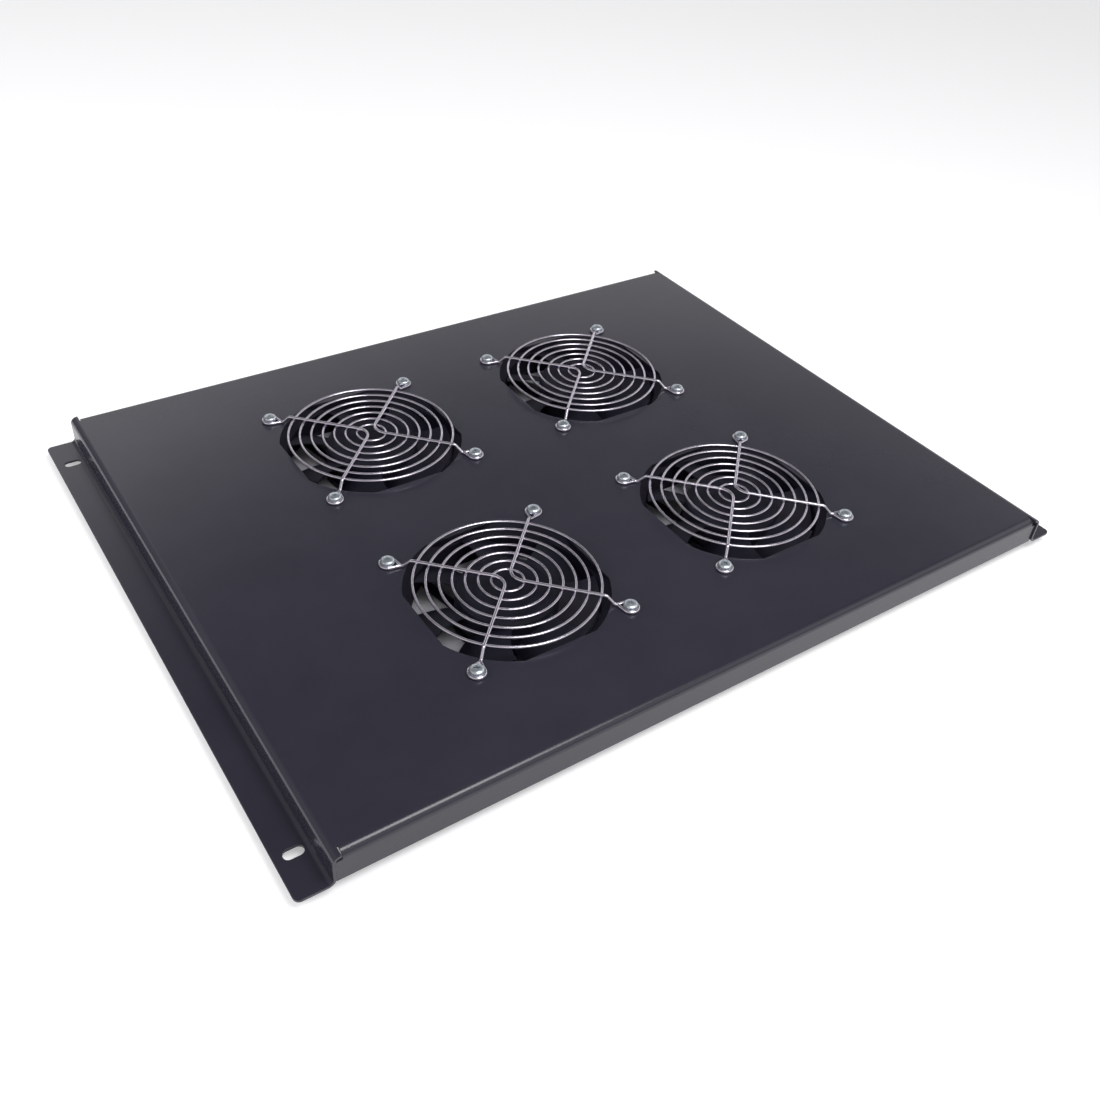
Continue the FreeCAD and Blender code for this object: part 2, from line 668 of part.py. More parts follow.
def spoke_leg():
    """Half of a spoke wire, laid along +X: half the apex bend, the leg, the step and the closed eyelet."""
    screw = FAN_SCREW_PITCH / math.sqrt(2)
    drop = SPOKE_PLANE - EYELET_PLANE
    leave = Vector(APEX_RADIUS, 0, SPOKE_PLANE)
    bend = Vector(APEX_RADIUS, -APEX_RADIUS, SPOKE_PLANE)
    apex = Part.Arc(on_circle(bend, APEX_RADIUS, 135), on_circle(bend, APEX_RADIUS, 112.5), leave)
    loop_centre = Vector(screw, 0, EYELET_PLANE)
    loop_tip = Vector(screw - EYELET_TIP, 0, EYELET_PLANE)
    opening = math.degrees(math.acos(EYELET_RADIUS / EYELET_TIP))
    leg = rounded_path(
        [
            leave,
            Vector(STEP_START, 0, SPOKE_PLANE),
            Vector(STEP_START + drop, 0, EYELET_PLANE),
            loop_tip,
            on_circle(loop_centre, EYELET_RADIUS, opening - 180),
        ],
        [STEP_RADIUS, FOOT_RADIUS, FOOT_RADIUS],
    )
    loop = Part.Arc(
        on_circle(loop_centre, EYELET_RADIUS, opening - 180),
        on_circle(loop_centre, EYELET_RADIUS, 0),
        on_circle(loop_centre, EYELET_RADIUS, 180 - opening),
    )
    path = Part.Wire([apex.toShape(), *leg, loop.toShape()])
    start = path.OrderedVertexes[0].Point
    first = path.OrderedEdges[0]
    section = Part.Wire(Part.Circle(start, first.tangentAt(first.FirstParameter), SPOKE_WIRE).toShape())
    swept = path.makePipeShell([section], True, False)
    loop_end = on_circle(loop_centre, EYELET_RADIUS, 180 - opening)
    back = loop_tip - loop_end
    closing = Part.makeCylinder(SPOKE_WIRE, back.Length - SPOKE_WIRE / 2, loop_end, back)
    return swept.fuse(closing)


def finger_guard():
    """Seven rings resistance-welded under two V-shaped spoke wires."""
    quarter = spoke_leg()
    quarter.rotate(MIDDLE, UP, 45)
    legs = [quarter, quarter.mirror(MIDDLE, Vector(0, 1, 0))]
    legs += [leg.mirror(MIDDLE, Vector(1, 0, 0)) for leg in legs]
    pitch = (RING_LAST - RING_FIRST) / (GUARD_RINGS - 1)
    rings = [
        Part.makeTorus(RING_FIRST + i * pitch, RING_WIRE, Vector(0, 0, RING_PLANE))
        for i in range(GUARD_RINGS)
    ]
    return rings[0].multiFuse(rings[1:] + legs)


def guard_screw(place):
    """Pan-head M4 screw that clamps an eyelet."""
    top = HEAD_SEAT + HEAD_HEIGHT
    screw = turned([
        *thread_end(HEAD_SEAT - SCREW_LENGTH),
        (THREAD_RADIUS, HEAD_SEAT),
        (HEAD_RADIUS, HEAD_SEAT),
        (HEAD_RADIUS, HEAD_SEAT + HEAD_RIM),
        (HEAD_RADIUS - HEAD_RIM / 2, top - HEAD_CROWN),
        (HEAD_RADIUS - 3 * HEAD_RIM / 2, top - HEAD_CROWN / 5),
        (0, top),
    ])
    screw.translate(place)
    return screw


def thread_end(low):
    """The (r, z) outline of a thread's chamfered lower end."""
    return [(0, low), (THREAD_RADIUS - THREAD_CHAMFER, low), (THREAD_RADIUS, low + THREAD_CHAMFER)]


def flat_washer(place):
    """Washer under the fan's upper flange."""
    return collar(SCREW_HOLE, WASHER_RADIUS, FLANGE_UNDER - WASHER_THICKNESS, FLANGE_UNDER, place.x, place.y)


def lock_nut(place):
    """Hexagon lock nut with its round insert collar below."""
    top = FLANGE_UNDER - WASHER_THICKNESS
    hex_low = top - LOCK_NUT_HEX
    body = hexagon(NUT_FLATS, hex_low, top, place.x, place.y)
    insert = rod(NUT_FLATS / 2 - COLLAR_STEP, hex_low - LOCK_NUT_COLLAR, hex_low, place.x, place.y)
    bore = rod(THREAD_RADIUS, 0, FAN_DEPTH, place.x, place.y)
    return body.fuse(insert).cut(bore)


def pole_places():
    """The X position of each pole of the terminal block."""
    return [(i - (POLES - 1) / 2) * POLE_PITCH for i in range(POLES)]


def ear_reach():
    """How far the fixing studs stand from the terminal block's middle."""
    return POLES * POLE_PITCH / 2 + BLOCK_EAR / 2


def clamp_cylinder(x, radius, length):
    """A level cylinder across the terminal block at one pole."""
    z = PANEL_UNDER - BLOCK_BASE - CLAMP_DROP - CLAMP_OUTER
    return Part.makeCylinder(radius, length, Vector(x, BLOCK_Y - length / 2, z), Vector(0, 1, 0))


def screw_wells():
    """Positions of the two clamp screws at each pole."""
    return [(x, BLOCK_Y + side * CLAMP_SCREW_SPREAD / 2) for x in pole_places() for side in (-1, 1)]


def terminal_block():
    """Nylon six-pole strip: a base with two fixing ears and one tower for each pole."""
    low = PANEL_UNDER - BLOCK_HEIGHT
    base_low = PANEL_UNDER - BLOCK_BASE
    half = BLOCK_WIDTH / 2
    reach = POLES * POLE_PITCH / 2
    towers = []
    for x in pole_places():
        x_low, x_high = x - POLE_WIDTH / 2, x + POLE_WIDTH / 2
        tower = block(x_low, x_high, BLOCK_Y - half, BLOCK_Y + half, low, base_low + SHEET)
        lower = [e for e in tower.Edges if e.BoundBox.ZMax < low + CONTACT]
        towers.append(tower.makeChamfer(TOWER_CHAMFER, lower))
    base = block(-reach, reach, BLOCK_Y - half, BLOCK_Y + half, base_low, PANEL_UNDER)
    ear_end, ear_half = reach + BLOCK_EAR, BLOCK_EAR / 2
    ears = block(-ear_end, ear_end, BLOCK_Y - ear_half, BLOCK_Y + ear_half, base_low, PANEL_UNDER)
    upright = [e for e in ears.Edges if abs(e.tangentAt(e.FirstParameter).z) > 0.9]
    strip = base.multiFuse([ears.makeFillet(EAR_ROUND, upright), *towers])
    cutters = [rod(SCREW_HOLE, low, PANEL_UNDER + 1, side * ear_reach(), BLOCK_Y) for side in (-1, 1)]
    cutters += [rod(WELL_RADIUS, low - 1, base_low - CLAMP_BORE, x, y) for x, y in screw_wells()]
    cutters += [clamp_cylinder(x, CLAMP_OUTER, CLAMP_LENGTH) for x in pole_places()]
    cutters += [clamp_cylinder(x, WELL_RADIUS, BLOCK_WIDTH + 2) for x in pole_places()]
    return strip.cut(cutters).removeSplitter()


def terminal_clamps():
    """Brass tube in each pole, bored for the wires and tapped for its two screws."""
    tubes = []
    for x in pole_places():
        tube = clamp_cylinder(x, CLAMP_OUTER, CLAMP_LENGTH)
        tube = tube.cut(clamp_cylinder(x, CLAMP_BORE, CLAMP_LENGTH + 2))
        high = PANEL_UNDER - BLOCK_BASE - CLAMP_OUTER
        holes = [rod(CLAMP_SCREW_RADIUS, 0, high, x, y) for wx, y in screw_wells() if wx == x]
        tubes.append(tube.cut(holes))
    return tubes


def terminal_screws():
    """Clamp screws, slotted heads down."""
    low = PANEL_UNDER - BLOCK_HEIGHT + CLAMP_HEAD_SUNK
    seat = low + CLAMP_HEAD_HEIGHT
    tip = PANEL_UNDER - BLOCK_BASE - CLAMP_DROP - CLAMP_OUTER - CLAMP_HEAD_SUNK
    half, reach = CLAMP_SLOT / 2, CLAMP_HEAD_RADIUS
    screws = []
    for x, y in screw_wells():
        screw = rod(CLAMP_SCREW_RADIUS, seat, tip, x, y).fuse(rod(CLAMP_HEAD_RADIUS, low, seat, x, y))
        slot = block(x - reach, x + reach, y - half, y + half, low - 1, low + CLAMP_SLOT)
        screws.append(screw.cut(slot))
    return screws


def stud_places():
    """The three weld studs: two for the terminal block and one for the earth lead."""
    return [Vector(-ear_reach(), BLOCK_Y, 0), Vector(ear_reach(), BLOCK_Y, 0), Vector(EARTH_X, BLOCK_Y, 0)]


def weld_studs():
    """M4 studs welded to the panel's underside."""
    low = PANEL_UNDER - STUD_LENGTH
    studs = []
    for place in stud_places():
        stud = turned([*thread_end(low), (THREAD_RADIUS, PANEL_UNDER), (0, PANEL_UNDER)])
        stud.translate(place)
        studs.append(stud)
    return studs


def stud_nuts():
    """A plain hexagon nut on each weld stud."""
    nuts = []
    seats = [PANEL_UNDER - BLOCK_BASE, PANEL_UNDER - BLOCK_BASE, PANEL_UNDER - WASHER_THICKNESS]
    for place, seat in zip(stud_places(), seats):
        nut = hexagon(NUT_FLATS, seat - NUT_HEIGHT, seat, place.x, place.y)
        nuts.append(nut.cut(rod(THREAD_RADIUS, 0, PANEL_UNDER, place.x, place.y)))
    return nuts


def earth_washer():
    """Toothed lock washer between the earth nut and the panel."""
    place = stud_places()[2]
    low = PANEL_UNDER - WASHER_THICKNESS
    washer = collar(SCREW_HOLE, EARTH_BODY, low, PANEL_UNDER, place.x, place.y)
    half = EARTH_TOOTH / 2
    teeth = []
    for i in range(EARTH_TEETH):
        tooth = block(EARTH_BODY - half, WASHER_RADIUS, -half, half, low, PANEL_UNDER)
        tooth.rotate(MIDDLE, UP, 360 * i / EARTH_TEETH)
        tooth.translate(Vector(place.x, place.y, 0))
        teeth.append(tooth)
    return washer.multiFuse(teeth).removeSplitter()


def save(name, shape):
    """Writes one node: a solid, or a group of separate solids."""
    if isinstance(shape, list):
        shape = Part.makeCompound(shape)
    if not shape.isValid():
        print("not valid:", name)
    solids = shape.Solids
    print(f"{name}: {len(solids)} solid(s), {sum(s.Volume for s in solids) / 1000:.2f} cm3")
    Part.makeCompound(solids).exportStep(f"parts/{name}.step")


def placed(shape, centre, angle=0.0):
    """A copy of a fan piece, turned about the fan's axis and moved to the fan's centre."""
    pieces = shape if isinstance(shape, list) else [shape]
    moved = []
    for piece in pieces:
        copy = piece.copy()
        copy.rotate(MIDDLE, UP, angle)
        copy.translate(centre)
        moved.append(copy)
    return moved


def main():
    os.makedirs("parts", exist_ok=True)
    save("tray_panel", tray_panel())
    save("rear_grommet", rear_grommet())
    save("terminal_block", terminal_block())
    save("terminal_clamps", terminal_clamps())
    save("terminal_screws", terminal_screws())
    save("weld_studs", weld_studs())
    save("stud_nuts", stud_nuts())
    save("earth_washer", earth_washer())

    fixed = {
        "fan_frame": fan_frame(),
        "fan_terminals": terminal_tabs(),
        "bearings": bearings(),
        "stator_core": stator_core(),
        "windings": windings(),
        "finger_guard": finger_guard(),
    }
    turning = {
        "impeller": impeller(),
        "rotor_cup": rotor_cup(),
        "shaft": shaft(),
        "retaining_clip": retaining_clip(),
    }
    for fan, (centre, parked) in FANS.items():
        for name, shape in fixed.items():
            save(f"{fan}_{name}", placed(shape, centre))
        for name, shape in turning.items():
            save(f"{fan}_{name}", placed(shape, centre, parked))
        save(f"{fan}_guard_screws", [guard_screw(p) for p in screw_places(centre)])
        save(f"{fan}_washers", [flat_washer(p) for p in screw_places(centre)])
        save(f"{fan}_lock_nuts", [lock_nut(p) for p in screw_places(centre)])


main()
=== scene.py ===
import math
import random

import bmesh
import bpy
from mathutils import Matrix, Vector


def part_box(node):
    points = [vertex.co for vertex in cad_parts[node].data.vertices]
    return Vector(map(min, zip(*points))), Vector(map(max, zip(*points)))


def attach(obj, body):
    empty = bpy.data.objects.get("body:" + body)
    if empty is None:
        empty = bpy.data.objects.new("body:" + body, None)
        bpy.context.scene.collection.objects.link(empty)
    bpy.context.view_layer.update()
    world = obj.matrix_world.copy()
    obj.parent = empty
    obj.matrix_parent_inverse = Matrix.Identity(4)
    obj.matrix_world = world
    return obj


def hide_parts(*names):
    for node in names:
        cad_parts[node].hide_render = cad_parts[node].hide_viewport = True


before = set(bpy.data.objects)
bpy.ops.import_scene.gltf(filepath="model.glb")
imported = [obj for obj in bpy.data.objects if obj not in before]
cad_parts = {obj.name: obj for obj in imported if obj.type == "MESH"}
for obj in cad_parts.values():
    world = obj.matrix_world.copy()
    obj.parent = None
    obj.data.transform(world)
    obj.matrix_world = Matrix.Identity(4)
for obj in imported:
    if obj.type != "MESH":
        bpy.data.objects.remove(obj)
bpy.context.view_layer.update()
mm = 0.001
fans = ("rear_left", "rear_right", "front_left", "front_right")
print("frame loaded,", len(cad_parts), "nodes")


def hexToLinear(code):
    # an sRGB hex colour as the linear RGBA that a shader takes
    parts = [int(code[i:i + 2], 16) / 255 for i in (1, 3, 5)]
    return tuple(p / 12.92 if p <= 0.04045 else ((p + 0.055) / 1.055) ** 2.4 for p in parts) + (1.0,)


def grey(value):
    return (value, value, value, 1.0)


def addNode(tree, kind, inputs=None, stops=(), **settings):
    # one node: an input is a value or another node's output, and stops are a ramp's places and colours
    node = tree.nodes.new(kind)
    for name, value in settings.items():
        setattr(node, name, value)
    for socket, value in (inputs or {}).items():
        if isinstance(value, bpy.types.NodeSocket):
            tree.links.new(value, node.inputs[socket])
        else:
            node.inputs[socket].default_value = value
    elements = node.color_ramp.elements if stops else []
    while len(elements) < len(stops):
        elements.new(0.5)
    for element, (place, colour) in zip(elements, stops):
        element.position = place
        element.color = colour
    return node


def newMaterial(name):
    # an empty material, its node tree, and the place on the piece that its patterns read
    material = bpy.data.materials.new(name)
    material.use_nodes = True
    tree = material.node_tree
    tree.nodes.clear()
    return material, tree, addNode(tree, "ShaderNodeTexCoord").outputs["Object"]


def powderCoatMaterial():
    # polyester powder coat on steel: even charcoal, satin, with the slight orange peel of the cured powder
    coat = {
        "colour": "#2a2934", "lighter": "#2e2d38", "cloudMm": 45.0,
        "roughness": 0.22, "rougher": 0.27,
        "peelMm": 1.6, "peelDepth": 0.002 * mm,
        "edgeRadius": 0.5 * mm,  # the coat rounds each cut edge by this much
    }
    material, tree, place = newMaterial("satinPowderCoatedSteel")
    cloud = addNode(tree, "ShaderNodeTexNoise", {
        "Vector": place, "Scale": 1 / (coat["cloudMm"] * mm), "Detail": 3.0,
    })
    peel = addNode(tree, "ShaderNodeTexNoise", {
        "Vector": place, "Scale": 1 / (coat["peelMm"] * mm), "Detail": 2.0,
    })
    colour = addNode(tree, "ShaderNodeValToRGB", {"Fac": cloud.outputs[0]}, [
        (0.3, hexToLinear(coat["colour"])), (0.7, hexToLinear(coat["lighter"])),
    ])
    gloss = addNode(tree, "ShaderNodeValToRGB", {"Fac": peel.outputs[0]}, [
        (0.3, grey(coat["roughness"])), (0.7, grey(coat["rougher"])),
    ])
    edge = addNode(tree, "ShaderNodeBevel", {"Radius": coat["edgeRadius"]}, samples=4)
    bump = addNode(tree, "ShaderNodeBump", {
        "Height": peel.outputs[0], "Distance": coat["peelDepth"], "Strength": 1.0, "Normal": edge.outputs[0],
    })
    shader = addNode(tree, "ShaderNodeBsdfPrincipled", {
        "Base Color": colour.outputs[0], "Roughness": gloss.outputs[0], "IOR": 1.5, "Normal": bump.outputs[0],
    })
    addNode(tree, "ShaderNodeOutputMaterial", {"Surface": shader.outputs[0]})
    return material


def metalMaterial(look):
    # bare or plated metal: tone and gloss vary together over a noise, which is stretched to make lines
    material, tree, place = newMaterial(look["name"])
    along = addNode(tree, "ShaderNodeMapping", {"Vector": place, "Scale": look["stretch"]})
    grain = addNode(tree, "ShaderNodeTexNoise", {
        "Vector": along.outputs[0], "Scale": 1 / (look["grainMm"] * mm), "Detail": look["detail"],
    })
    colour = addNode(tree, "ShaderNodeValToRGB", {"Fac": grain.outputs[0]}, [
        (0.35, hexToLinear(look["darker"])), (look["plainFrom"], hexToLinear(look["colour"])),
    ])
    gloss = addNode(tree, "ShaderNodeValToRGB", {"Fac": grain.outputs[0]}, [
        (0.3, grey(look["rougher"])), (0.7, grey(look["roughness"])),
    ])
    shader = addNode(tree, "ShaderNodeBsdfPrincipled", {
        "Base Color": colour.outputs[0], "Metallic": 1.0, "Roughness": gloss.outputs[0],
    })
    addNode(tree, "ShaderNodeOutputMaterial", {"Surface": shader.outputs[0]})
    return material


def mouldedMaterial(look):
    # injection-moulded plastic or rubber: one even colour, with the mould's spark grain in skin and gloss
    material, tree, place = newMaterial(look["name"])
    grain = addNode(tree, "ShaderNodeTexNoise", {
        "Vector": place, "Scale": 1 / (look["grainMm"] * mm), "Detail": 3.0,
    })
    colour = addNode(tree, "ShaderNodeValToRGB", {"Fac": grain.outputs[0]}, [
        (0.3, hexToLinear(look["colour"])), (0.7, hexToLinear(look["lighter"])),
    ])
    gloss = addNode(tree, "ShaderNodeValToRGB", {"Fac": grain.outputs[0]}, [
        (0.3, grey(look["roughness"])), (0.7, grey(look["rougher"])),
    ])
    bump = addNode(tree, "ShaderNodeBump", {
        "Height": grain.outputs[0], "Distance": look["grainDepth"], "Strength": 1.0,
    })
    shader = addNode(tree, "ShaderNodeBsdfPrincipled", {
        "Base Color": colour.outputs[0], "Roughness": gloss.outputs[0], "IOR": 1.53,
        "Specular IOR Level": look["specular"], "Normal": bump.outputs[0],
    })
    addNode(tree, "ShaderNodeOutputMaterial", {"Surface": shader.outputs[0]})
    return material


def layeredMaterial(look):
    # layers or turns that lie on each other along Z, with a dark gap between them
    material, tree, place = newMaterial(look["name"])
    bandAtScaleOne = math.pi / 10  # a wave texture of scale 1 repeats after this many metres
    bands = addNode(tree, "ShaderNodeTexWave", {
        "Vector": place, "Scale": bandAtScaleOne / (look["pitchMm"] * mm), "Distortion": 0.4,
    }, wave_type="BANDS", bands_direction="Z", wave_profile="SIN")
    colour = addNode(tree, "ShaderNodeValToRGB", {"Fac": bands.outputs["Fac"]}, [
        (0.1, hexToLinear(look["gap"])), (0.5, hexToLinear(look["colour"])),
    ])
    bump = addNode(tree, "ShaderNodeBump", {
        "Height": bands.outputs["Fac"], "Distance": look["gapDepth"], "Strength": 0.8,
    })
    shader = addNode(tree, "ShaderNodeBsdfPrincipled", {
        "Base Color": colour.outputs[0], "Metallic": look["metallic"], "Roughness": look["roughness"],
        "Normal": bump.outputs[0],
    })
    addNode(tree, "ShaderNodeOutputMaterial", {"Surface": shader.outputs[0]})
    return material


# marks and grain are drawn coarser than real ones, which would be too fine to show
metals = {  # the noise runs from 0 to 1, and the plain colour starts at plainFrom on it
    "platedWire": {  # bright nickel-chrome on drawn wire: mirror-like, a little lilac in the reflection
        "name": "nickelChromePlatedWire", "colour": "#dcd6e2", "darker": "#c9c3d0", "plainFrom": 0.6,
        "roughness": 0.19, "rougher": 0.26, "grainMm": 3.0, "detail": 4.0, "stretch": (1, 1, 1),
    },
    "zinc": {  # bright zinc with a clear passivate: cool, slightly uneven, half gloss
        "name": "clearPassivatedZincSteel", "colour": "#dde3ea", "darker": "#b9c1ca", "plainFrom": 0.65,
        "roughness": 0.3, "rougher": 0.46, "grainMm": 1.2, "detail": 3.0, "stretch": (1, 1, 1),
    },
    "drawnSteel": {  # bare drawn steel: mid grey, with the draw marks round it
        "name": "drawnRotorSteel", "colour": "#8e8f93", "darker": "#76777b", "plainFrom": 0.65,
        "roughness": 0.34, "rougher": 0.46, "grainMm": 2.0, "detail": 3.0, "stretch": (1, 1, 8),
    },
    "groundSteel": {  # ground steel: pale and glossy, with fine grinding lines round it
        "name": "groundBearingSteel", "colour": "#c6c7ca", "darker": "#a9abb0", "plainFrom": 0.65,
        "roughness": 0.18, "rougher": 0.3, "grainMm": 0.6, "detail": 3.0, "stretch": (1, 1, 8),
    },
    "brass": {  # sheet brass as stamped: yellow, with fine rolling lines
        "name": "stampedBrass", "colour": "#c9a45a", "darker": "#b08d48", "plainFrom": 0.65,
        "roughness": 0.28, "rougher": 0.4, "grainMm": 0.8, "detail": 3.0, "stretch": (1, 6, 1),
    },
    "copperFlash": {  # the thin copper on weld studs: reddish and half gloss
        "name": "copperFlashedSteel", "colour": "#b9775a", "darker": "#a1644a", "plainFrom": 0.65,
        "roughness": 0.33, "rougher": 0.45, "grainMm": 0.8, "detail": 3.0, "stretch": (1, 1, 6),
    },
}
mouldings = {
    "framePlastic": {  # glass-filled PBT: near black and dull
        "name": "mouldedBlackPbt", "colour": "#0f0e1a", "lighter": "#131220", "specular": 0.2,
        "roughness": 0.58, "rougher": 0.7, "grainMm": 1.0, "grainDepth": 0.01 * mm,
    },
    "impellerPlastic": {  # the same plastic from a smoother mould: a shade lighter, as blades are
        "name": "smoothBlackPbt", "colour": "#11101c", "lighter": "#161523", "specular": 0.2,
        "roughness": 0.56, "rougher": 0.68, "grainMm": 1.4, "grainDepth": 0.006 * mm,
    },
    "nylon": {  # undyed nylon: milky and waxy
        "name": "mouldedNaturalNylon", "colour": "#d8d5c8", "lighter": "#e2dfd4", "specular": 0.5,
        "roughness": 0.42, "rougher": 0.54, "grainMm": 1.0, "grainDepth": 0.01 * mm,
    },
    "lockInsert": {  # the dyed ring of a lock nut: blue and slightly waxy
        "name": "blueNylonInsert", "colour": "#2a4d8f", "lighter": "#335aa0", "specular": 0.5,
        "roughness": 0.45, "rougher": 0.57, "grainMm": 0.8, "grainDepth": 0.006 * mm,
    },
    "rubber": {  # black rubber: dark and matt
        "name": "mouldedBlackRubber", "colour": "#0f0f10", "lighter": "#161617", "specular": 0.5,
        "roughness": 0.68, "rougher": 0.8, "grainMm": 0.7, "grainDepth": 0.015 * mm,
    },
}
layers = {
    "laminations": {  # punched silicon steel in a stack: grey edges with dark joints
        "name": "stackedSiliconSteel", "colour": "#6d6e72", "gap": "#26262a",
        "roughness": 0.42, "metallic": 1.0, "pitchMm": 0.5, "gapDepth": 0.1 * mm,
    },
    "windings": {  # enamelled copper wire: red-brown turns under a clear glossy enamel
        "name": "enamelledCopperWire", "colour": "#a8542b", "gap": "#3d1a0d",
        "roughness": 0.3, "metallic": 0.6, "pitchMm": 0.4, "gapDepth": 0.1 * mm,
    },
}
finishes = {"powderCoat": powderCoatMaterial()}
for looks, make in ((metals, metalMaterial), (mouldings, mouldedMaterial), (layers, layeredMaterial)):
    finishes.update({finish: make(look) for finish, look in looks.items()})
print("materials made")


trayFinishes = {
    "tray_panel": "powderCoat",
    "rear_grommet": "rubber",
    "terminal_block": "nylon",
    "terminal_clamps": "brass",
    "terminal_screws": "zinc",
    "weld_studs": "copperFlash",
    "stud_nuts": "zinc",
    "earth_washer": "zinc",
}
fanFinishes = {
    "fan_frame": "framePlastic",
    "fan_terminals": "brass",
    "bearings": "groundSteel",
    "stator_core": "laminations",
    "windings": "windings",
    "finger_guard": "platedWire",
    "guard_screws": "zinc",
    "washers": "zinc",
    "lock_nuts": "zinc",
    "impeller": "impellerPlastic",
    "rotor_cup": "drawnSteel",
    "shaft": "groundSteel",
    "retaining_clip": "drawnSteel",
}
cadFinishes = dict(trayFinishes)
for fan in fans:
    cadFinishes.update({f"{fan}_{piece}": finish for piece, finish in fanFinishes.items()})
for node, finish in cadFinishes.items():
    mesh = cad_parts[node].data
    mesh.materials.clear()
    mesh.materials.append(finishes[finish])
print("CAD nodes finished")


def makeActive(piece):
    # the only piece selected, and the one that operators act on
    bpy.ops.object.select_all(action="DESELECT")
    piece.select_set(True)
    bpy.context.view_layer.objects.active = piece


def startPiece(name, kind, **size):
    # a new primitive, alone in the selection and in edit mode with all of it selected
    bpy.ops.object.select_all(action="DESELECT")
    getattr(bpy.ops.mesh, f"primitive_{kind}_add")(**size)
    piece = bpy.context.object
    piece.name = name
    bpy.ops.object.transform_apply(location=True, rotation=True, scale=True)
    bpy.ops.object.mode_set(mode="EDIT")
    return piece


def startBar(name, sides, radius, low, high, degrees=0.0):
    # an upright bar on Z between two heights: round, or with as few sides as a nut
    return startPiece(name, "cylinder", vertices=sides, radius=radius, depth=high - low,
                      location=(0, 0, (low + high) / 2), rotation=(0, 0, math.radians(degrees)))


def pickFaces(piece, side):
    # in edit mode, selects just the faces that face up, for side 1, or down, for side -1
    bpy.ops.mesh.select_mode(type="FACE")
    bpy.ops.mesh.select_all(action="DESELECT")
    shape = bmesh.from_edit_mesh(piece.data)
    for face in shape.faces:
        face.select_set(side * face.normal.z > 0.5)
    shape.select_flush(True)
    bmesh.update_edit_mesh(piece.data)


def turnOutline(outline):
    # extrudes the selected end face, centred on Z, from the first (radius, height) through the others
    for (radius, height), (nextRadius, nextHeight) in zip(outline, outline[1:]):
        bpy.ops.mesh.extrude_region_move(TRANSFORM_OT_translate={"value": (0, 0, nextHeight - height)})
        scale = nextRadius / radius
        bpy.ops.transform.resize(value=(scale, scale, 1), center_override=(0, 0, 0))


def cutWith(piece, tool, operation="DIFFERENCE"):
    # a boolean with the tool, applied, after which the tool goes
    bpy.ops.object.mode_set(mode="OBJECT")
    makeActive(piece)
    cut = piece.modifiers.new("cut", "BOOLEAN")
    cut.object = tool
    cut.operation = operation
    cut.solver = "EXACT"
    bpy.ops.object.modifier_apply(modifier=cut.name)
    bpy.data.objects.remove(tool, do_unlink=True)


def drillThrough(piece, radius, low, high):
    # a round hole on Z; the drill goes well past both ends
    middle, reach = (low + high) / 2, 2 * (high - low)
    cutWith(piece, startBar("drill", 32, radius, middle - reach, middle + reach))


def finishPattern(piece, sharpAngle):
    # outward normals, no doubles, and smooth shading that stops at edges sharper than the angle
    makeActive(piece)
    bpy.ops.object.mode_set(mode="EDIT")
    bpy.ops.mesh.select_all(action="SELECT")
    bpy.ops.mesh.remove_doubles(threshold=0.002 * mm)
    bpy.ops.mesh.normals_make_consistent(inside=False)
    bpy.ops.object.mode_set(mode="OBJECT")
    bpy.ops.object.shade_smooth_by_angle(angle=math.radians(sharpAngle))


def placeCopies(pattern, name, places, finish):
    # copies of a finished pattern, each with its own mesh, turned about Z, moved and joined as one piece
    bpy.ops.object.select_all(action="DESELECT")
    for place, turn in places:
        copy = pattern.copy()
        copy.data = pattern.data.copy()
        bpy.context.scene.collection.objects.link(copy)
        copy.location = place
        copy.rotation_euler.z = turn
        copy.select_set(True)
        bpy.context.view_layer.objects.active = copy
    bpy.ops.object.transform_apply(location=True, rotation=True, scale=True)
    bpy.ops.object.join()
    piece = bpy.context.object
    piece.name = name
    piece.data.materials.clear()
    piece.data.materials.append(finishes[finish])
    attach(piece, "tray")
    return piece


def cornerAxes(node, inset):
    # the four upright axes that lie this far inside the corners of a node's box
    low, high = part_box(node)
    across, along = (low.x + inset, high.x - inset), (low.y + inset, high.y - inset)
    return [Vector((x, y, 0)) for x in across for y in along]


guardScrew = {
    "cadHeadRadius": 4.5 * mm,  # the screws' axes lie this far inside their node's box
    "headRadius": 4.45 * mm, "headHeight": 2.6 * mm, "rim": 0.9 * mm,
    # radius in mm, and the share of the rise from the rim to the top
    "dome": ((4.36, 0.28), (4.1, 0.5), (3.6, 0.74), (2.9, 0.9), (2.0, 0.97), (1.0, 1.0)),
    "neckRadius": 2.8 * mm, "neckHeight": 0.2 * mm, "shankRadius": 2.0 * mm,
    "pitch": 0.7 * mm, "threadDepth": 0.36 * mm, "endChamfer": 0.5 * mm,
    "recessReach": 2.35 * mm, "recessWidth": 1.0 * mm, "recessDepth": 1.7 * mm, "recessTaper": 0.45,
    "sharpAngle": 35.0,
}


def threadOutline(low, top):
    # down a threaded shank: a ridge each pitch, then a chamfered end
    radius, pitch, chamfer = guardScrew["shankRadius"], guardScrew["pitch"], guardScrew["endChamfer"]
    outline = [(radius, top)]
    height = top
    while height - pitch > low + chamfer:
        outline.append((radius - guardScrew["threadDepth"], height - pitch / 2))
        outline.append((radius, height - pitch))
        height -= pitch
    return outline + [(radius, low + chamfer), (radius - chamfer, low)]


